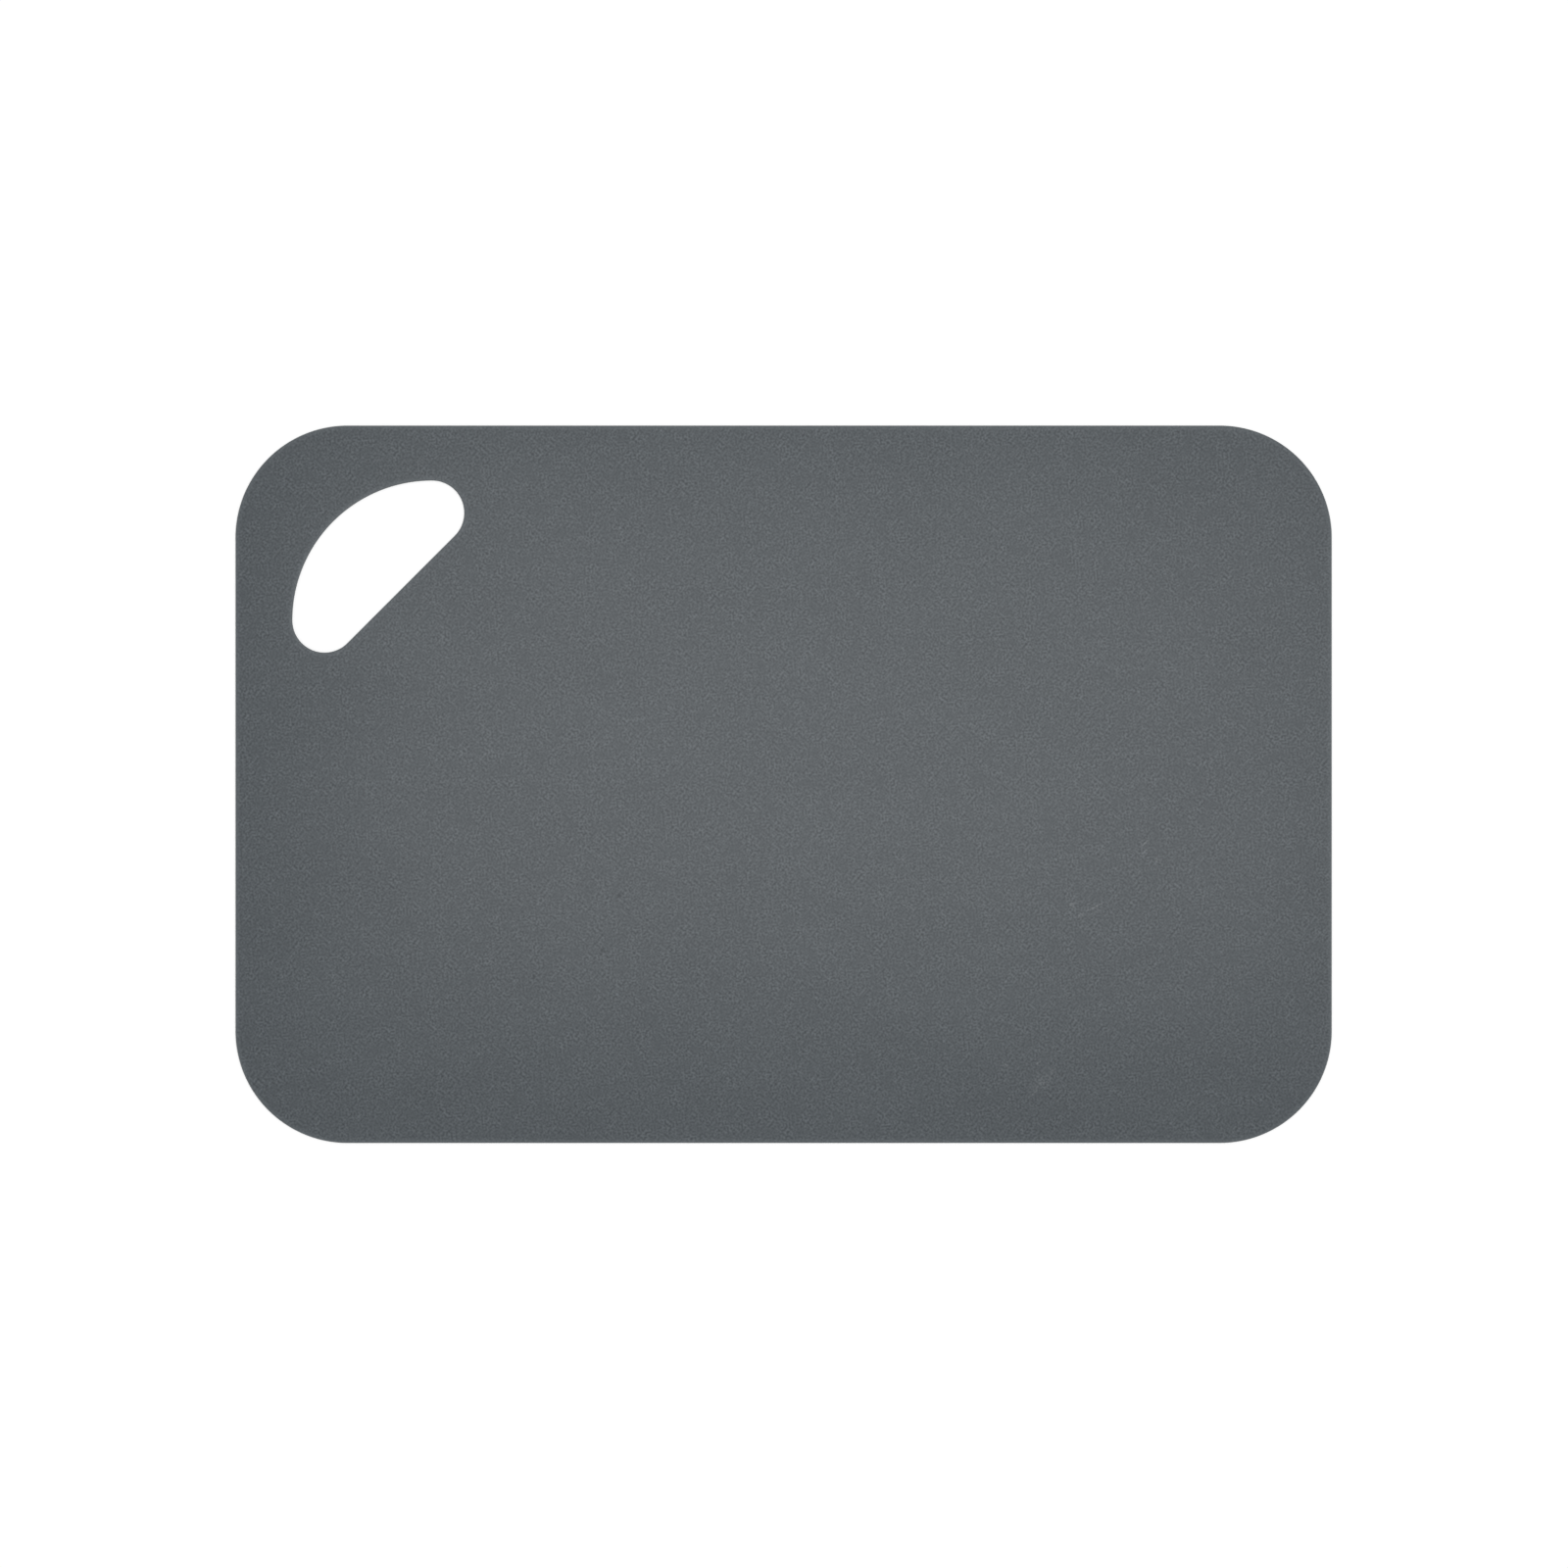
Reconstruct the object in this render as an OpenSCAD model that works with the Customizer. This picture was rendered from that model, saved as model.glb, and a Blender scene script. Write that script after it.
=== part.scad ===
// Flexible cutting mat: one continuous sheet of tough, bendable plastic that lies
// flat on a worktop. Its corners are large and round, a D-shaped hand opening is
// cut through one corner, and every edge that a hand meets is rounded over.
// The origin is at the middle of the underside, +X runs along the length,
// +Y points to the long side with the hand opening, and +Z is up. Millimetres.

/* [Sheet] */
// Length of the sheet, along X
sheet_length = 382; // [300:1:480]
// Width of the sheet, along Y
sheet_width = 250; // [200:1:340]
// Thickness of the sheet
sheet_thickness = 1.5; // [1.0:0.1:3.0]
// Radius of the four outer corners
corner_radius = 39; // [15:1:60]
// Radius of the round-over on every edge, on both faces
edge_round = 0.4; // [0.1:0.05:0.45]

/* [Hand opening] */
// Sheet left between the short side and the opening
opening_from_side = 19.7; // [14:0.1:30]
// Sheet left between the long side and the opening
opening_from_top = 19.1; // [14:0.1:30]
// Radius of the opening's curved side, a quarter circle
opening_arc_radius = 48.7; // [40:0.1:58]
// Radius of the opening's two round ends
opening_end_radius = 11.3; // [8:0.1:14]

/* [Hidden] */

// Facets of each full circle, fine on the outline and coarser on the small round-over
$fn = 180;
round_fn = 32;

slate_grey = "#616568";

// How far the straight sides of the sheet's outline reach, to where the corners begin
straight_x = sheet_length / 2 - corner_radius;
straight_y = sheet_width / 2 - corner_radius;

// The curved side of the opening is a quarter circle about this point
arc_centre = [
    -sheet_length / 2 + opening_from_side + opening_arc_radius,
    sheet_width / 2 - opening_from_top - opening_arc_radius
];
// The opening is drawn about that point with its straight side along x, then turned into its corner
corner_turn = 45;
// The round ends touch the quarter circle from inside, so their centres lie this far from its centre
end_reach = opening_arc_radius - opening_end_radius;
end_centre = [end_reach * cos(corner_turn), end_reach * sin(corner_turn)];
// A round end bends from square to the straight side until it meets the curved side
end_bend = 90 + corner_turn;

// The opening's cutter stands out of both faces by this much
cut_over = 1;
// Its round-overs end this far past the faces, so that they meet them at a clear angle
round_over = 0.02;
// Pieces of the cutter that need not end anywhere in particular lap by this much
lap = 1;

// Moves by a coarse step and a fine one, so that a long decimal keeps all its digits
module place(to) {
    coarse = [for (part = to) round(100 * part) / 100];
    translate(coarse)
        translate(to - coarse)
            children();
}

// The sheet's edge in section, with its outermost line at x = 0 and the sheet on the -x side
module edge_section() {
    intersection() {
        translate([-edge_round, 0])
            square([edge_round, sheet_thickness]);
        union() {
            translate([-edge_round, edge_round])
                square([edge_round, sheet_thickness - 2 * edge_round]);
            for (z = [edge_round, sheet_thickness - edge_round])
                translate([-edge_round, z])
                    circle(r = edge_round, $fn = round_fn);
        }
    }
}

// A straight rounded edge along +X from the origin, with the sheet on the +Y side
module straight_edge(length) {
    rotate([90, 0, 90])
        linear_extrude(length)
            mirror([1, 0])
                edge_section();
}

// A quarter turn of rounded edge about the origin, with the sheet inside it
module corner_edge() {
    rotate_extrude(angle = 90)
        translate([corner_radius, 0])
            edge_section();
}

// The rounded edge all round the sheet, one half at a time
module sheet_edges() {
    for (half = [0, 180])
        rotate(half) {
            translate([-straight_x, -sheet_width / 2, 0])
                straight_edge(2 * straight_x);
            translate([sheet_length / 2, -straight_y, 0])
                rotate(90)
                    straight_edge(2 * straight_y);
            translate([straight_x, straight_y, 0])
                corner_edge();
            translate([-straight_x, straight_y, 0])
                rotate(90)
                    corner_edge();
        }
}

// The sheet without its rounded edge
module sheet_core() {
    linear_extrude(sheet_thickness) {
        square([2 * straight_x, sheet_width - 2 * edge_round], center = true);
        square([sheet_length - 2 * edge_round, 2 * straight_y], center = true);
        for (x = [-straight_x, straight_x], y = [-straight_y, straight_y])
            translate([x, y])
                circle(r = corner_radius - edge_round);
    }
}

// What is cut away at the opening's edge, in section: the wall is at x = 0, the cutter
// fills depth behind it, and it opens out over both faces round the sheet's rounded edge
module cut_section(depth) {
    low = edge_round - round_over;
    high = sheet_thickness - low;
    difference() {
        translate([-depth, -cut_over])
            square([depth + edge_round, sheet_thickness + 2 * cut_over]);
        translate([0, low])
            square([edge_round, high - low]);
        for (z = [low, high])
            translate([edge_round, z])
                circle(r = edge_round, $fn = round_fn);
    }
}

// The opening's cutter about the middle of its quarter circle, with its straight side along x
module opening_cutter() {
    for (side = [0, 1])
        mirror([side, 0, 0]) {
            // Half of the curved side
            rotate(90)
                rotate_extrude(angle = 90 - corner_turn)
                    translate([opening_arc_radius, 0])
                        cut_section(opening_end_radius);
            // A round end
            place([end_centre.x, end_centre.y, 0])
                rotate(-90)
                    rotate_extrude(angle = end_bend)
                        translate([opening_end_radius, 0])
                            cut_section(opening_end_radius);
            // Half of the straight side
            place([end_centre.x, end_centre.y, 0])
                rotate([90, 0, -90])
                    linear_extrude(end_centre.x + lap)
                        translate([opening_end_radius, 0])
                            cut_section(opening_end_radius);
        }
    // The middle, which all of them reach into
    translate([0, 0, -cut_over])
        linear_extrude(sheet_thickness + 2 * cut_over)
            intersection() {
                circle(r = end_reach + lap);
                translate([-end_centre.x, end_centre.y - lap])
                    square([2 * end_centre.x, opening_arc_radius]);
            }
}

module mat() {
    color(slate_grey)
        difference() {
            union() {
                sheet_core();
                sheet_edges();
            }
            translate([arc_centre.x, arc_centre.y, 0])
                rotate(corner_turn)
                    opening_cutter();
        }
}

mat();
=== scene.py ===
# %% [markdown]
# A flexible cutting mat is one sheet of polypropylene, 1.5 mm thick, with a fine
# grain pressed into both faces and a D-shaped hand opening in one corner.
# The construction comes as a fixed frame. This lesson adds what the frame cannot
# hold: evenly shaded round edges, the grain, the soft sheen and a few scuffs.

# %% Load the frame
import math

import bpy
import numpy as np
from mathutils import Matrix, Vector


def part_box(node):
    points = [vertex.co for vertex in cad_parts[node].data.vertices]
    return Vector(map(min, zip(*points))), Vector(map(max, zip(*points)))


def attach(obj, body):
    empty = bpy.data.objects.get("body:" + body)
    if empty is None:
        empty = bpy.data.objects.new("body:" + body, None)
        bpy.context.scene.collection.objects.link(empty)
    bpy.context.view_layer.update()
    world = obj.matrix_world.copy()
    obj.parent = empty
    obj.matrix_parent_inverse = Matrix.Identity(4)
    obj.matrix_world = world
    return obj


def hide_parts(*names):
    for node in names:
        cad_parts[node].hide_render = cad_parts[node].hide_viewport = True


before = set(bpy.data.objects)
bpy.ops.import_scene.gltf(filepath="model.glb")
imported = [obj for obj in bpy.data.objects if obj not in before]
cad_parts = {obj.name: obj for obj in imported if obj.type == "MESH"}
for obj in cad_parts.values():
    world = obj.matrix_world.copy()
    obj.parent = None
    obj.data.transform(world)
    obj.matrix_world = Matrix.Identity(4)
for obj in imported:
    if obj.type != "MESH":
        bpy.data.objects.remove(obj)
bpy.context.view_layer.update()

MM = 0.001
CM = 0.01

# %% [markdown]
# Every size of the sheet is either read from the frame or named here once.
# The overall sizes are the frame's own. The radii and distances are the ones that
# a die maker would write on the drawing of the cutting die.

# %% Name the sizes of the sheet
mat_low, mat_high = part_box("mat")
half_length = (mat_high.x - mat_low.x) / 2
half_width = (mat_high.y - mat_low.y) / 2
underside = mat_low.z
cutting_face = mat_high.z

corner_radius = 39 * MM
edge_round = 0.4 * MM
opening_from_side = 19.7 * MM
opening_from_top = 19.1 * MM
opening_arc_radius = 48.7 * MM
opening_end_radius = 11.3 * MM

arc_centre = np.array([
    -half_length + opening_from_side + opening_arc_radius,
    half_width - opening_from_top - opening_arc_radius,
])
end_reach = opening_arc_radius - opening_end_radius
print("middle of the opening's quarter circle in mm:", np.round(arc_centre / MM, 2))

# %% [markdown]
# Both outlines of the sheet are made of round bends joined by straight lines, so a
# list of bends says all there is to say. A polygon modelled by hand would need its
# corners subdivided until they look round. Worked out from the bends instead, each
# point also knows which way its edge faces, which the round-over needs later.


# %% Walk an outline of bends
def walk_outline(bends, samples=1500):
    """Places and outward directions round a closed outline.

    Each bend is (centre x, centre y, radius, start angle, sweep), anticlockwise.
    On a bend the place is centre + radius * direction, where the direction's angle
    grows evenly from start to start + sweep. On the straight line to the next bend
    the place moves evenly from one end to the other and the direction stays."""
    bends = np.asarray(bends)
    share = np.linspace(0, 1, samples)
    angle = bends[:, None, 3] + bends[:, None, 4] * share
    facing = np.stack([np.cos(angle), np.sin(angle)], axis=-1)
    bend = bends[:, None, :2] + bends[:, None, 2:3] * facing
    line_start = bend[:, -1:]
    line_end = np.roll(bend[:, :1], -1, axis=0)
    line = line_start + (line_end - line_start) * share[:, None]
    line_facing = np.broadcast_to(facing[:, -1:], line.shape)
    place = np.concatenate([bend, line], axis=1).reshape(-1, 2)
    direction = np.concatenate([facing, line_facing], axis=1).reshape(-1, 2)
    return place, direction


quarter = math.pi / 2
end_sweep = 1.5 * quarter
corner_x = half_length - corner_radius
corner_y = half_width - corner_radius
sheet_bends = [
    (corner_x, -corner_y, corner_radius, -quarter, quarter),
    (corner_x, corner_y, corner_radius, 0, quarter),
    (-corner_x, corner_y, corner_radius, quarter, quarter),
    (-corner_x, -corner_y, corner_radius, 2 * quarter, quarter),
]
arc_x, arc_y = arc_centre
opening_bends = [
    (arc_x, arc_y, opening_arc_radius, quarter, quarter),
    (arc_x - end_reach, arc_y, opening_end_radius, 2 * quarter, end_sweep),
    (arc_x, arc_y + end_reach, opening_end_radius, -quarter / 2, end_sweep),
]
sheet_walk = walk_outline(sheet_bends)
opening_walk = walk_outline(opening_bends)
print("outline points worked out:", len(sheet_walk[0]), "and", len(opening_walk[0]))

# %% [markdown]
# A sheet with one opening is a ring, so the whole sheet is one grid: one way round
# the opening, the other way round its section. Straight rays from the middle of the
# opening meet each outline exactly once, which pairs the two outlines without
# crossings. Rays at equal angles would leave the far corners coarse, so they are
# spaced by how much outline and how much bend each of them has to describe.


# %% Space the rays
def meet(walk, middle, angles):
    """Where rays from the middle at these angles meet an outline, and its direction there.

    The outline's own points are looked up by their angle about the middle."""
    place, direction = walk
    away = place - middle
    around = np.arctan2(away[:, 1], away[:, 0])
    columns = np.concatenate([place, direction], axis=1).T
    met = np.stack([
        np.interp(angles, around, column, period=2 * math.pi) for column in columns
    ])
    return met[:2].T, met[2:].T


def space_rays(walks, middle, count, fine=40000):
    """Angles of the rays, so that each gap holds an equal share of the work.

    The work is the sum of each outline's length and turning, each over its total."""
    angles = np.linspace(0, 2 * math.pi, fine + 1)
    work = np.zeros(fine)
    for walk in walks:
        for track in meet(walk, middle, angles):
            moved = np.linalg.norm(np.diff(track, axis=0), axis=1)
            work += moved / moved.sum()
    done = np.concatenate([[0], np.cumsum(work)]) / work.sum()
    return np.interp(np.arange(count) / count, done, angles)


ray_count = 720
opening_middle = arc_centre + np.array([-1, 1]) * end_reach / 2
rays = space_rays([sheet_walk, opening_walk], opening_middle, ray_count)
ray_gaps = np.degrees(np.diff(rays))
print("rays:", ray_count, "gaps in degrees:", ray_gaps.min().round(3), "to", ray_gaps.max().round(3))

# %% [markdown]
# The section runs from the wall of the opening up its round-over, across the cutting
# face and down the outer round-over. Mirrored below, it closes on itself. Beside each
# round-over lies one narrow support row: smooth shading averages the directions of
# neighbouring faces, and the row keeps that average away from the flat faces. The
# next row marks how far the painted highlight along the rim reaches.

# %% Draw the section
round_steps = 6
field_steps = 18
support = 0.25 * MM
rim_width = 1.8 * MM


def upper_section():
    """One value per point: share of the way from opening to edge, distance in, depth.

    On a round-over, distance in is round * (1 - sin a) and depth is
    round * (1 - cos a), where a goes from 0 at the face to a right angle at the wall."""
    a = np.linspace(quarter, 0, round_steps + 1)
    rim = np.concatenate([edge_round * (1 - np.sin(a)), [edge_round + support, rim_width]])
    fall = np.concatenate([edge_round * (1 - np.cos(a)), [0, 0]])
    field = np.linspace(0, 1, field_steps + 1)[1:-1]
    share = np.concatenate([np.zeros_like(rim), field, np.ones_like(rim)])
    distance = np.concatenate([rim, np.full_like(field, rim_width), rim[::-1]])
    depth = np.concatenate([fall, np.zeros_like(field), fall[::-1]])
    return share, distance, depth


def sheet_points(angles):
    """The sheet's points, one row for each ray and one column for each point of the section.

    In plan a point is (1 - share) * near + share * far, where near and far lie the
    distance in from the opening and from the edge, square to each. Its height is the
    cutting face less the depth, and below the middle it is the underside plus the depth."""
    share, distance, depth = upper_section()
    hole, hole_facing = meet(opening_walk, opening_middle, angles)
    edge, edge_facing = meet(sheet_walk, opening_middle, angles)
    step = distance[:, None]
    near = hole[:, None] + hole_facing[:, None] * step
    far = edge[:, None] - edge_facing[:, None] * step
    plan = near + (far - near) * share[:, None]
    level = np.ones(plan.shape[:2] + (1,))
    top = np.concatenate([plan, level * (cutting_face - depth)[:, None]], axis=2)
    bottom = np.concatenate([plan, level * (underside + depth)[:, None]], axis=2)
    return np.concatenate([top, bottom[:, ::-1]], axis=1)


points = sheet_points(rays)
print("grid of the sheet:", points.shape[0], "rays by", points.shape[1], "section points")

# %% [markdown]
# The grid is closed both ways, so every quad joins a point to its neighbours with
# the counts wrapped round. Going along the section first and then round gives faces
# that point out of the plastic. The volume, summed over the faces, is printed, and it
# is positive when the faces point out.


# %% Join the grid with faces
def closed_grid_faces(rows, columns):
    """Corner numbers of the quads of a grid that is closed both ways.

    A point's number is row * columns + column. After the last row or column comes
    the first again."""
    row = np.arange(rows)[:, None]
    column = np.arange(columns)[None, :]
    next_row = (row + 1) % rows
    next_column = (column + 1) % columns
    corners = [
        row * columns + column,
        row * columns + next_column,
        next_row * columns + next_column,
        next_row * columns + column,
    ]
    return np.stack([np.broadcast_to(c, (rows, columns)) for c in corners], axis=-1)


def enclosed_volume(places, quads):
    """A sixth of the sum of p . (q x r) over the triangles of the quads."""
    p, q, r, s = (places[quads[:, i]] for i in range(4))
    first = np.einsum("ij,ij->i", p, np.cross(q, r))
    second = np.einsum("ij,ij->i", p, np.cross(r, s))
    return (first + second).sum() / 6


rows, columns = points.shape[:2]
vertices = points.reshape(-1, 3)
quads = closed_grid_faces(rows, columns).reshape(-1, 4)
volume = enclosed_volume(vertices, quads)
print("triangles:", 2 * len(quads), "volume in cm3:", round(volume / CM**3, 2))

# %% [markdown]
# The arrays become a mesh in one call, and every face is shaded smooth: the support
# rows keep the flat faces flat. The new piece takes the place of the plain solid and
# moves with the same body.

# %% Make the sheet
sheet_mesh = bpy.data.meshes.new("grained_sheet")
sheet_mesh.from_pydata(vertices, [], quads)
sheet_mesh.polygons.foreach_set("use_smooth", np.ones(len(quads), dtype=bool))
sheet_mesh.update()
sheet = bpy.data.objects.new("grained_sheet", sheet_mesh)
bpy.context.scene.collection.objects.link(sheet)

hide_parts("mat")
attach(sheet, "root")
print("made:", sheet.name, "with", len(sheet_mesh.vertices), "points")

# %% [markdown]
# The die leaves two different surfaces: the faces keep the pressed grain, and the cut
# edge is smoother. One material with a mask would blur that border, while two
# materials change exactly where the face ends. The mesh also carries a value named
# rim, which is 1 beside the cut edge and runs out to 0 at the rim row. The face colour
# uses it for a painted highlight along the rim.

# %% Mark the faces, the cut edge and the rim
face_slot = 0
edge_slot = 1

section = np.arange(columns)


def count_from_wall(index):
    """How many points a section point lies from the nearer wall, on either face."""
    on_face = index % (columns // 2)
    return np.minimum(on_face, columns // 2 - 1 - on_face)


point_rim = np.where(count_from_wall(section) <= round_steps + 1, 1.0, 0.0)
both_ends = np.minimum(count_from_wall(section), count_from_wall((section + 1) % columns))
quad_slot = np.where(both_ends < round_steps, edge_slot, face_slot)

rim = sheet_mesh.attributes.new("rim", "FLOAT", "POINT")
rim.data.foreach_set("value", np.tile(point_rim, rows).astype(np.float32))
sheet_mesh.polygons.foreach_set("material_index", np.tile(quad_slot, rows).astype(np.int32))
print("section rows with face grain:", int((quad_slot == face_slot).sum()), "of", columns)

# %% [markdown]
# The finish is built from small node groups. Each one reads the coordinates of the
# object, so a pattern keeps its real size in millimetres and needs no unwrapping.
# Four short helpers keep the wiring readable.

# %% Helpers for shader nodes


def give(tree, socket, value):
    """Links an output to the socket, or sets the socket to a plain value."""
    if isinstance(value, bpy.types.NodeSocket):
        tree.links.new(value, socket)
    else:
        socket.default_value = value


def add_node(tree, kind, at=(0, 0), inputs=None, **settings):
    """A node of this kind, at its place in the editor, with its inputs given by name."""
    node = tree.nodes.new(kind)
    node.location = at
    for name, value in settings.items():
        setattr(node, name, value)
    for name, value in (inputs or {}).items():
        give(tree, node.inputs[name], value)
    return node


def math_node(tree, operation, first, second, at=(0, 0)):
    """One step of arithmetic on two outputs or numbers; gives back its output."""
    return add_node(
        tree, "ShaderNodeMath", at, {0: first, 1: second}, operation=operation
    ).outputs[0]


def new_group(name, inputs, outputs):
    """A shader node group with named sockets, with its first and last node."""
    group = bpy.data.node_groups.new(name, "ShaderNodeTree")
    for label, kind, value in inputs:
        socket = group.interface.new_socket(label, in_out="INPUT", socket_type=kind)
        if value is not None:
            socket.default_value = value
    for label, kind in outputs:
        group.interface.new_socket(label, in_out="OUTPUT", socket_type=kind)
    first = add_node(group, "NodeGroupInput", (-1000, 0))
    last = add_node(group, "NodeGroupOutput", (1000, 0))
    return group, first.outputs, last.inputs


FLOAT = "NodeSocketFloat"
VECTOR = "NodeSocketVector"
print("helpers ready")

# %% [markdown]
# The grain is pressed into the hot sheet by an etched roller. It is a close field of
# soft bumps about 1.5 mm apart, with no direction. Noise without extra detail gives
# bumps of one size, and flat noise gives a narrower range of sizes than noise in space
# does, because a slice through space cuts many bumps off-centre. A second, much wider
# noise makes the grain patchy: the roller has bitten deeper here than there. Noise is
# built on a hidden square grid, which can show as faint lines, so the places are
# turned askew first. Real bumps would need millions of faces, so the shader carries
# them as height. It also gives a tone for the colour that is darker in the pits and
# brightest on the tops. That tone is painted shade in the pits and painted light on the
# tops, standing in for the shading of bumps too small to show it, with a little painted glint.

# %% The pressed grain
fine_turn = 0.7
wide_turn = 1.3
wide_bumps = 0.16
wide_layers = 2.0


def make_grain_group():
    """Height and tone of the grain, both about 0.5.

    With fine and wide as noises about 0, the swing is
    fine * (1 + patchiness * wide) + share * wide. The height is 0.5 + swing, and the
    tone is 0.5 + contrast * (swing + glint * swing squared). The tone paints shade into
    the pits and light onto the tops, and its glint part is a painted glint."""
    group, given, result = new_group(
        "pressed grain",
        [
            ("Place", VECTOR, None),
            ("Bumps per metre", FLOAT, 1280.0),
            ("Wide share", FLOAT, 0.22),
            ("Patchiness", FLOAT, 2.0),
            ("Painted glint", FLOAT, 0.1),
            ("Contrast", FLOAT, 0.65),
        ],
        [("Height", FLOAT), ("Tone", FLOAT)],
    )

    def noise_swing(turn, scale, detail, at):
        """Flat noise about 0, on places turned about z."""
        askew = add_node(
            group, "ShaderNodeVectorRotate", (at[0] - 200, at[1]),
            {"Vector": given["Place"], "Angle": turn}, rotation_type="Z_AXIS",
        )
        noise = add_node(
            group, "ShaderNodeTexNoise", at,
            {"Vector": askew.outputs["Vector"], "Scale": scale, "Detail": detail},
            noise_dimensions="2D",
        )
        return math_node(group, "SUBTRACT", noise.outputs["Fac"], 0.5, (at[0] + 200, at[1]))

    bumps = given["Bumps per metre"]
    fine = noise_swing(fine_turn, bumps, 0.0, (-600, 200))
    sparse = math_node(group, "MULTIPLY", bumps, wide_bumps, (-1000, -400))
    wide = noise_swing(wide_turn, sparse, wide_layers, (-600, -200))
    patches = math_node(group, "MULTIPLY", wide, given["Patchiness"], (-200, 0))
    patches = math_node(group, "ADD", patches, 1.0, (-50, 0))
    patchy = math_node(group, "MULTIPLY", fine, patches, (100, 200))
    wide_part = math_node(group, "MULTIPLY", wide, given["Wide share"], (100, -200))
    swing = math_node(group, "ADD", patchy, wide_part, (250, 0))
    square = math_node(group, "MULTIPLY", swing, swing, (400, -200))
    # A painted glint: the squared swing lifts the colour where glints of light would be.
    painted_glint = math_node(group, "MULTIPLY", square, given["Painted glint"], (500, -200))
    uneven = math_node(group, "ADD", swing, painted_glint, (600, -100))
    strong = math_node(group, "MULTIPLY", uneven, given["Contrast"], (700, -100))
    give(group, result["Tone"], math_node(group, "ADD", strong, 0.5, (850, -100)))
    give(group, result["Height"], math_node(group, "ADD", swing, 0.5, (850, 100)))
    return group


grain_group = make_grain_group()
print("grain group:", len(grain_group.nodes), "nodes")

# %% [markdown]
# From a step away the sheet shows very faint broad streaks along its length, because
# the molten plastic was drawn out that way on its way to the rollers. They are noise
# on places that are squeezed along x, and each finer layer of it is two thirds as
# strong as the one before. The same group could streak any extruded sheet, so the
# squeeze is an input.

# %% The faint streaks of the extruded sheet
streak_layers = 3.0
layer_share = 0.68


def make_streak_group():
    """A tone of 0.5 + contrast * (noise - 0.5), where the noise reads place * streaks."""
    group, given, result = new_group(
        "extrusion streaks",
        [
            ("Place", VECTOR, None),
            ("Streaks per metre", VECTOR, (17.0, 34.0, 34.0)),
            ("Contrast", FLOAT, 1.0),
        ],
        [("Tone", FLOAT)],
    )
    squeezed = add_node(
        group, "ShaderNodeVectorMath", (-600, 0),
        {0: given["Place"], 1: given["Streaks per metre"]}, operation="MULTIPLY",
    )
    streaks = add_node(
        group, "ShaderNodeTexNoise", (-400, 0),
        {"Vector": squeezed.outputs["Vector"], "Scale": 1.0,
         "Detail": streak_layers, "Roughness": layer_share},
    )
    swing = math_node(group, "SUBTRACT", streaks.outputs["Fac"], 0.5, (-100, 0))
    strong = math_node(group, "MULTIPLY", swing, given["Contrast"], (100, 0))
    give(group, result["Tone"], math_node(group, "ADD", strong, 0.5, (300, 0)))
    return group


streak_group = make_streak_group()
print("streak group:", len(streak_group.nodes), "nodes")

# %% [markdown]
# A used mat has a few pale scuffs where something hard has rubbed the tops of the
# grain. A scuff is an oval patch or a thin stroke that fades out at its rim. The group
# gives only the patch: the material lets it show most on the high parts of the grain,
# which is what breaks a scuff up into specks.

# %% The patch of a scuff
full_within = 0.2


def make_scuff_group():
    """A mask that is 1 in the middle of an oval and falls smoothly to 0 at its rim.

    The offset from the middle is turned back by the scuff's turn, then divided by half
    its length, half its width and its reach in depth. The mask falls with its length."""
    group, given, result = new_group(
        "scuff patch",
        [
            ("Place", VECTOR, None),
            ("Middle", VECTOR, (0.0, 0.0, 0.0)),
            ("Turn", FLOAT, 0.0),
            ("Half size", VECTOR, (0.005, 0.002, 0.0005)),
            ("Strength", FLOAT, 1.0),
        ],
        [("Mask", FLOAT)],
    )
    back = math_node(group, "MULTIPLY", given["Turn"], -1.0, (-800, -200))
    turned = add_node(
        group, "ShaderNodeVectorRotate", (-600, 0),
        {"Vector": given["Place"], "Center": given["Middle"], "Angle": back},
        rotation_type="Z_AXIS",
    )
    offset = add_node(
        group, "ShaderNodeVectorMath", (-400, 0),
        {0: turned.outputs["Vector"], 1: given["Middle"]}, operation="SUBTRACT",
    )
    shrunk = add_node(
        group, "ShaderNodeVectorMath", (-200, 0),
        {0: offset.outputs["Vector"], 1: given["Half size"]}, operation="DIVIDE",
    )
    far = add_node(
        group, "ShaderNodeVectorMath", (0, 0),
        {0: shrunk.outputs["Vector"]}, operation="LENGTH",
    )
    fade = add_node(
        group, "ShaderNodeMapRange", (200, 0),
        {"Value": far.outputs["Value"], "From Min": full_within, "From Max": 1.0,
         "To Min": 1.0, "To Max": 0.0},
        interpolation_type="SMOOTHSTEP",
    )
    mask = math_node(group, "MULTIPLY", fade.outputs["Result"], given["Strength"], (400, 0))
    give(group, result["Mask"], mask)
    return group


scuff_group = make_scuff_group()
print("scuff group:", len(scuff_group.nodes), "nodes")

# %% [markdown]
# Each scuff and each dark speck of the photographed mat has its place here, taken in
# the photograph's own pixels and turned into the frame's metres, with its size in
# millimetres and its turn in degrees. A strength above one keeps a thin stroke whole,
# and one below zero makes a dark speck.

# %% Place the scuffs
sheet_pixels = 1118.5
sheet_middle_pixel = np.array([799.6, 800.3])
metres_per_pixel = 2 * half_length / sheet_pixels

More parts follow.
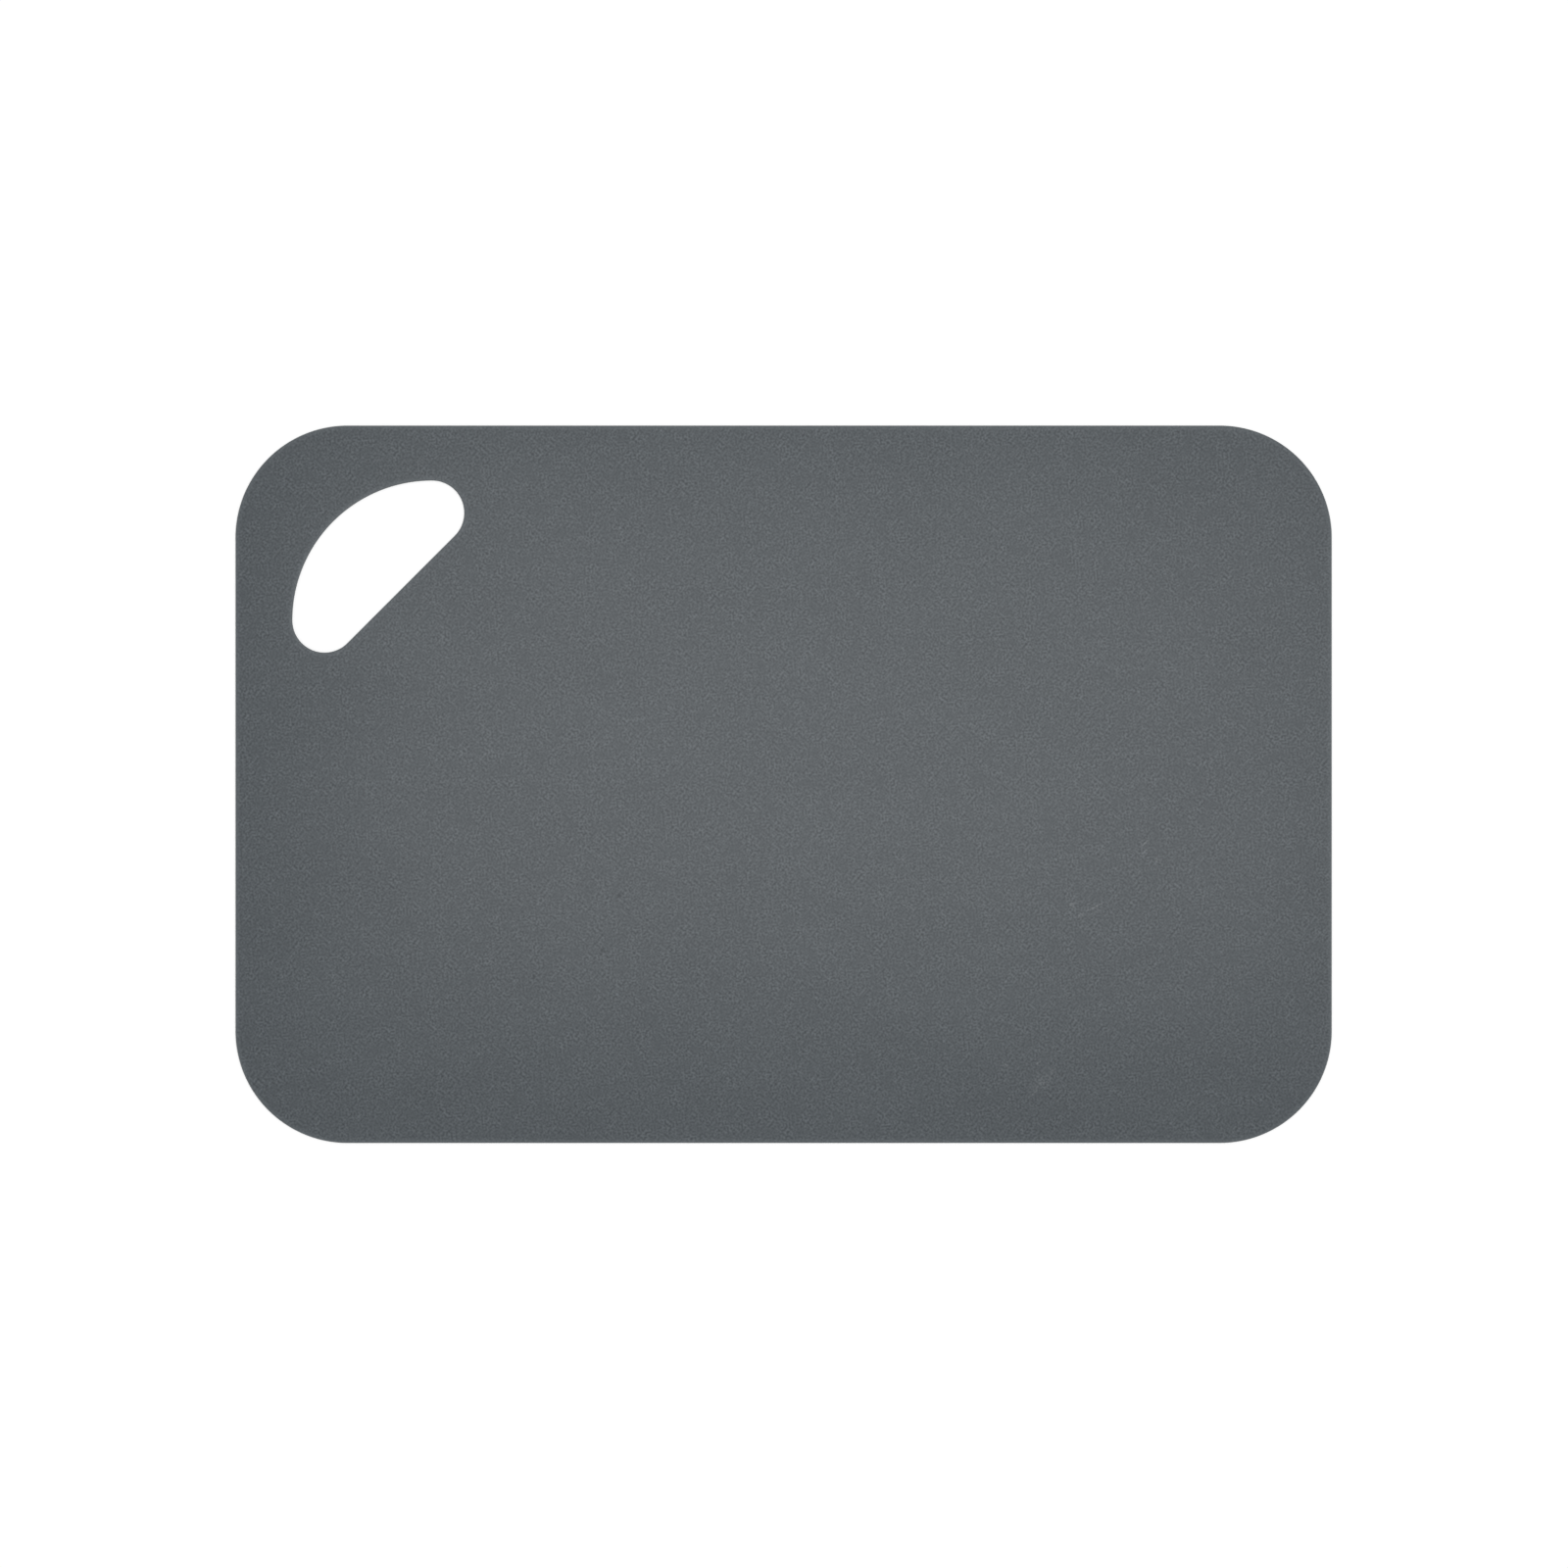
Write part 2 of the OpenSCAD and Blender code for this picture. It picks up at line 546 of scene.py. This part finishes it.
# column, row, length in mm, width in mm, turn in degrees, strength
scuffs = [
    (1167, 861, 5.6, 0.9, 42, 1.5),
    (1169, 868, 4.8, 0.8, 42, 0.9),
    (1181, 877, 4.0, 2.4, 30, 0.6),
    (1116, 926, 10.6, 0.9, 27, 1.3),
    (1119, 930, 8.0, 0.9, 27, 0.8),
    (1094, 923, 3.2, 2.8, 0, 0.8),
    (1103, 934, 3.6, 2.6, 10, 0.8),
    (1060, 1084, 3.8, 0.9, 39, 1.2),
    (1075, 1092, 3.2, 1.0, 48, 1.0),
    (1055, 1115, 4.6, 0.9, 42, 0.9),
    (1063, 1103, 16.0, 8.5, 46, 0.4),
    (1026, 1087, 3.6, 2.0, -40, 0.9),
    (615, 970, 2.4, 2.0, 0, -1.2),
    (632, 914, 2.6, 2.0, 30, -1.2),
    (545, 996, 2.6, 1.6, 60, -1.0),
]
scuff_reach = 0.5 * MM


def place_of_pixel(column, row):
    """The place on the cutting face that shows at this column and row of the photograph."""
    right = (column - sheet_middle_pixel[0]) * metres_per_pixel
    up = (sheet_middle_pixel[1] - row) * metres_per_pixel
    return (right, up, cutting_face)


def add_scuffs(tree, place, at):
    """All the scuff patches added up; gives back the output of the last sum."""
    total = 0.0
    for count, (column, row, length, width, turn, strength) in enumerate(scuffs):
        node_at = (at[0], at[1] - 250 * count)
        patch = add_node(tree, "ShaderNodeGroup", node_at, node_tree=scuff_group)
        give(tree, patch.inputs["Place"], place)
        give(tree, patch.inputs["Middle"], place_of_pixel(column, row))
        give(tree, patch.inputs["Turn"], math.radians(turn))
        give(tree, patch.inputs["Half size"], (length * MM / 2, width * MM / 2, scuff_reach))
        give(tree, patch.inputs["Strength"], strength)
        total = math_node(tree, "ADD", patch.outputs["Mask"], total, (node_at[0] + 200, node_at[1]))
    return total


print("scuffs and specks:", len(scuffs))

# %% [markdown]
# The faces and the cut edge are one polypropylene, so both materials start from the
# same plastic shader and the same small steps: a colour part of the way between two
# others, and a value spread over a new range. Refraction is that of the plastic, and
# its even mirror part is turned down, because grain this close scatters most of it.

# %% Helpers for the two plastics
plastic_ior = 1.49
specular_level = 0.1


def colour_between(tree, share, first, second, at=(0, 0)):
    """A colour a share of the way from the first to the second; gives back its output."""
    node = add_node(tree, "ShaderNodeMix", at, data_type="RGBA")
    give(tree, node.inputs["Factor"], share)
    first_socket, second_socket = [s for s in node.inputs if s.type == "RGBA"]
    give(tree, first_socket, first)
    give(tree, second_socket, second)
    return next(s for s in node.outputs if s.type == "RGBA")


def spread(tree, value, low, high, to_low, to_high, at=(0, 0)):
    """A value spread from one range to another and held inside it; gives back its output."""
    inputs = {"Value": value, "From Min": low, "From Max": high, "To Min": to_low, "To Max": to_high}
    return add_node(tree, "ShaderNodeMapRange", at, inputs).outputs["Result"]


def new_plastic(name):
    """A material with its node tree, its plastic shader's inputs and the object's coordinates."""
    material = bpy.data.materials.new(name)
    material.use_nodes = True
    tree = material.node_tree
    plastic = tree.nodes["Principled BSDF"]
    plastic.inputs["IOR"].default_value = plastic_ior
    plastic.inputs["Specular IOR Level"].default_value = specular_level
    place = add_node(tree, "ShaderNodeTexCoord", (-1800, 0)).outputs["Object"]
    return material, tree, plastic.inputs, place


print("shared plastic: refraction", plastic_ior, "level of its even mirror", specular_level)

# %% [markdown]
# The faces are slate grey. The tone of the grain and the streaks runs the colour from
# painted shade in the pits to painted light on the tops. Over it go a painted highlight
# along the rim, then the scuffs and then the specks, the last two in the order that they
# came to the real sheet. A scuff reaches the pits less than the tops, so part of its
# mask follows the tops of the grain.

# %% The colour of the faces
# The darker slate is painted shade for the pits and also the colour of the real dark specks; the paler
# slate is painted light for the grain tops and for the rim.
slate_pit = (0.028, 0.034, 0.0395, 1)
slate_top = (0.115, 0.131, 0.1425, 1)
slate_scuffed = (0.185, 0.198, 0.208, 1)
# How far the rim is painted towards the paler slate: a painted highlight along the rim.
rim_painted_highlight = 0.35
worn_in_pits = 0.4
scuff_paling = 0.5
speck_darkening = 0.65


def face_colour(tree, place, tone, tops):
    """Painted pit shade to painted top light by the tone, then a painted highlight at the rim, paler in
    scuffs, and darker in specks.
    """
    rim_value = add_node(
        tree, "ShaderNodeAttribute", (-1500, 500), attribute_type="GEOMETRY", attribute_name="rim"
    ).outputs["Fac"]
    rim_highlight = math_node(tree, "MULTIPLY", rim_value, rim_painted_highlight, (-1250, 550))
    scuffed = add_scuffs(tree, place, (-1500, -400))
    worn = spread(tree, tops, 0, 1, worn_in_pits, 1, (-1100, -200))
    rubbed = math_node(tree, "MULTIPLY", scuffed, worn, (-900, -300))
    paled = spread(tree, rubbed, 0, 1, 0, scuff_paling, (-700, -200))
    darkened = spread(tree, scuffed, -1, 0, speck_darkening, 0, (-700, -500))

    colour = colour_between(tree, tone, slate_pit, slate_top, (-900, 100))
    # Painted highlight along the rim.
    colour = colour_between(tree, rim_highlight, colour, slate_top, (-700, 100))
    colour = colour_between(tree, paled, colour, slate_scuffed, (-500, 100))
    return colour_between(tree, darkened, colour, slate_pit, (-300, 100))


print("colour of the faces: from", slate_pit[:3], "to", slate_top[:3])

# %% [markdown]
# Most of the sheen is broad, as rough plastic gives it. The tops of the grain are
# flatter and smoother, and return a little of the lamp as a softer mirror would. That
# is a coat whose weight follows the tops. The grain's height goes to a bump, so the
# light also glances off the sides of the grain.

# %% The plastic of the faces
grain_bumps_per_metre = 1280.0
grain_depth = 0.07 * MM
streak_strength = 0.17
tops_start = 0.44
tops_full = 0.62
pit_roughness = 0.55
top_roughness = 0.47
pit_coat = 0.087
top_coat = 0.11
coat_roughness = 0.2


def make_face_plastic():
    """Grain and streaks give the tone; the tone sets colour and gloss, and the tops the coat."""
    material, tree, shader, place = new_plastic("grained_face_plastic")
    grain = add_node(tree, "ShaderNodeGroup", (-1500, 200), node_tree=grain_group)
    give(tree, grain.inputs["Place"], place)
    give(tree, grain.inputs["Bumps per metre"], grain_bumps_per_metre)
    streaks = add_node(tree, "ShaderNodeGroup", (-1500, -100), node_tree=streak_group)
    give(tree, streaks.inputs["Place"], place)
    give(tree, streaks.inputs["Contrast"], streak_strength)
    tone = math_node(tree, "ADD", grain.outputs["Tone"], streaks.outputs["Tone"], (-1250, 100))
    tone = math_node(tree, "SUBTRACT", tone, 0.5, (-1100, 100))
    tops = spread(tree, grain.outputs["Height"], tops_start, tops_full, 0, 1, (-1250, 350))

    give(tree, shader["Base Color"], face_colour(tree, place, tone, tops))
    roughness = spread(tree, tone, 0, 1, pit_roughness, top_roughness, (-500, -500))
    give(tree, shader["Roughness"], roughness)
    give(tree, shader["Coat Weight"], spread(tree, tops, 0, 1, pit_coat, top_coat, (-500, -800)))
    shader["Coat Roughness"].default_value = coat_roughness
    relief = add_node(
        tree, "ShaderNodeBump", (-300, -1000),
        {"Height": grain.outputs["Height"], "Distance": grain_depth},
    )
    give(tree, shader["Normal"], relief.outputs["Normal"])
    return material


face_plastic = make_face_plastic()
sheet_mesh.materials.append(face_plastic)
print("face material:", len(face_plastic.node_tree.nodes), "nodes")

# %% [markdown]
# The cut edge shows the plastic right through, so it has no grain. The die drags it
# a little, which leaves it paler and with fine lines along the cut. Streaks that
# are squeezed hard in height, and far less along the edge, give those lines.

# %% The plastic of the cut edge
slate_cut = (0.105, 0.117, 0.126, 1)
slate_cut_pale = (0.135, 0.148, 0.157, 1)
cut_lines_per_metre = (250.0, 250.0, 6000.0)
cut_line_depth = 0.02 * MM
cut_roughness = 0.5
cut_line_roughness = 0.38


def make_edge_plastic():
    """Fine lines along the cut give the tone, which sets colour, gloss and a slight relief."""
    material, tree, shader, place = new_plastic("cut_edge_plastic")
    lines = add_node(tree, "ShaderNodeGroup", (-1500, 0), node_tree=streak_group)
    give(tree, lines.inputs["Place"], place)
    give(tree, lines.inputs["Streaks per metre"], cut_lines_per_metre)
    tone = lines.outputs["Tone"]
    give(tree, shader["Base Color"], colour_between(tree, tone, slate_cut, slate_cut_pale, (-900, 100)))
    roughness = spread(tree, tone, 0, 1, cut_roughness, cut_line_roughness, (-900, -200))
    give(tree, shader["Roughness"], roughness)
    relief = add_node(
        tree, "ShaderNodeBump", (-600, -400), {"Height": tone, "Distance": cut_line_depth}
    )
    give(tree, shader["Normal"], relief.outputs["Normal"])
    return material


edge_plastic = make_edge_plastic()
sheet_mesh.materials.append(edge_plastic)
print("edge material:", len(edge_plastic.node_tree.nodes), "nodes")

# %% [markdown]
# The photograph is a catalogue shot: straight down, on pure white, with one broad soft
# light overhead. The camera looks straight down through a long lens, so the outline
# stays square. Its height follows from the lens and the width that it takes in.

# %% The camera
photo_pixels = 1600
lens = 85.0
sensor = 36.0

view_width = photo_pixels * metres_per_pixel
outline_height = cutting_face - edge_round
camera_height = outline_height + view_width * lens / sensor
camera_right = (photo_pixels / 2 - sheet_middle_pixel[0]) * metres_per_pixel
camera_up = (sheet_middle_pixel[1] - photo_pixels / 2) * metres_per_pixel

camera_data = bpy.data.cameras.new("overhead_camera")
camera_data.lens = lens
camera_data.sensor_width = sensor
camera = bpy.data.objects.new("overhead_camera", camera_data)
camera.location = (camera_right, camera_up, camera_height)
bpy.context.scene.collection.objects.link(camera)
bpy.context.scene.camera = camera
print("camera height in mm:", round(camera_height / MM, 1))

# %% [markdown]
# One broad soft box above the sheet gives the sheen in its middle, and the even light
# of a white room fills the rest. The two shares add up to 1, the level at which a
# white card would render white, so a colour comes out about as it is written. For
# that, a lamp whose watts are the square of pi times its height lights the card below
# it as strongly as a whole room of strength 1. The soft box stands a little up and to
# the right of the middle, as the brighter part of the sheet shows, and its length lies
# along the sheet.

# %% The soft box
room_light = 0.45
box_light = 1 - room_light
box_height = 1.6
box_place = (0.050, 0.050)
box_size = (0.85, 0.46)

box_data = bpy.data.lights.new("overhead_softbox", "AREA")
box_data.shape = "RECTANGLE"
box_data.size, box_data.size_y = box_size
box_data.energy = box_light * (math.pi * box_height) ** 2
soft_box = bpy.data.objects.new("overhead_softbox", box_data)
soft_box.location = (*box_place, box_height)
soft_box.visible_camera = False
bpy.context.scene.collection.objects.link(soft_box)
print("soft box power in W:", round(box_data.energy, 1))

# %% [markdown]
# The room lights the sheet at its own share, and shows as plain white wherever the
# camera looks at it. The kind of light path tells the two apart. Gloss and glass count
# as looking, so that they show the same white room and not a dimmer one.

# %% The white room


def seen_directly(tree, at):
    """1 where the camera looks, straight or by way of gloss or glass, and 0 elsewhere."""
    path = add_node(tree, "ShaderNodeLightPath", at)
    seen = path.outputs["Is Camera Ray"]
    for count, ray in enumerate(("Is Glossy Ray", "Is Transmission Ray")):
        seen = math_node(tree, "MAXIMUM", seen, path.outputs[ray], (at[0] + 200 * (count + 1), at[1]))
    return seen


def make_white_room():
    """An even light of the room's strength, which shows as plain white."""
    world = bpy.data.worlds.new("white_room")
    world.use_nodes = True
    tree = world.node_tree
    room = tree.nodes["Background"]
    room.inputs["Color"].default_value = (1, 1, 1, 1)
    strength = spread(tree, seen_directly(tree, (-900, 0)), 0, 1, room_light, 1.0, (-300, 0))
    give(tree, room.inputs["Strength"], strength)
    return world


bpy.context.scene.world = make_white_room()
bpy.context.scene.view_settings.view_transform = "Standard"
print("room's share of the light:", room_light)

# %% [markdown]
# The floor is a plain white card. Its own colour is a light grey that any lamp can
# light, and a little light of its own, seen only by the eye and in gloss, lifts it to
# white. Near the sheet that lift is small, so the sheet's soft shadow still shows.
# Farther out the soft box no longer reaches, and the lift grows until the card runs
# into the white room without a line. From below the card is clear, and it lets
# through the light that leaves or reaches the sheet's underside just above it, so
# that the underside can be looked at as well.

# %% The floor
floor_half = 6.0
floor_drop = 0.02 * MM
floor_grey = 0.8
lift_near = 0.3
lift_far = 0.7
near_reach = 0.4
far_reach = 2.5
clear_reach = 0.1 * MM


def make_card():
    """Grey paper with a lift seen only by the eye and in gloss, and clear from below."""
    material = bpy.data.materials.new("white_card")
    material.use_nodes = True
    tree = material.node_tree
    tree.nodes.clear()
    place = add_node(tree, "ShaderNodeTexCoord", (-1400, -300)).outputs["Object"]
    away = add_node(tree, "ShaderNodeVectorMath", (-1200, -300), {0: place}, operation="LENGTH")
    lift = spread(
        tree, away.outputs["Value"], near_reach, far_reach, lift_near, lift_far, (-1000, -300)
    )
    lift = math_node(tree, "MULTIPLY", seen_directly(tree, (-1000, 0)), lift, (-400, -100))
    paper_colour = (floor_grey, floor_grey, floor_grey, 1)
    paper = add_node(tree, "ShaderNodeBsdfDiffuse", (-200, 100), {"Color": paper_colour})
    glow = add_node(tree, "ShaderNodeEmission", (-200, -100), {"Strength": lift})
    card = add_node(tree, "ShaderNodeAddShader", (0, 0), {0: paper.outputs[0], 1: glow.outputs[0]})
    clear = add_node(tree, "ShaderNodeBsdfTransparent", (0, -200))
    from_below = add_node(tree, "ShaderNodeNewGeometry", (-600, 400)).outputs["Backfacing"]
    path_length = add_node(tree, "ShaderNodeLightPath", (-600, 800)).outputs["Ray Length"]
    from_underside = math_node(tree, "LESS_THAN", path_length, clear_reach, (-300, 600))
    unseen = math_node(tree, "MAXIMUM", from_below, from_underside, (0, 400))
    side = add_node(
        tree, "ShaderNodeMixShader", (300, 0), {0: unseen, 1: card.outputs[0], 2: clear.outputs[0]}
    )
    add_node(tree, "ShaderNodeOutputMaterial", (600, 0), {"Surface": side.outputs[0]})
    return material


floor_corners = floor_half * np.array([[-1, -1, 0], [1, -1, 0], [1, 1, 0], [-1, 1, 0]], dtype=float)
floor_corners[:, 2] = underside - floor_drop
floor_mesh = bpy.data.meshes.new("floor")
floor_mesh.from_pydata(floor_corners, [], [[0, 1, 2, 3]])
floor_mesh.materials.append(make_card())
floor = bpy.data.objects.new("floor", floor_mesh)
bpy.context.scene.collection.objects.link(floor)
print("floor half width in m:", floor_half)
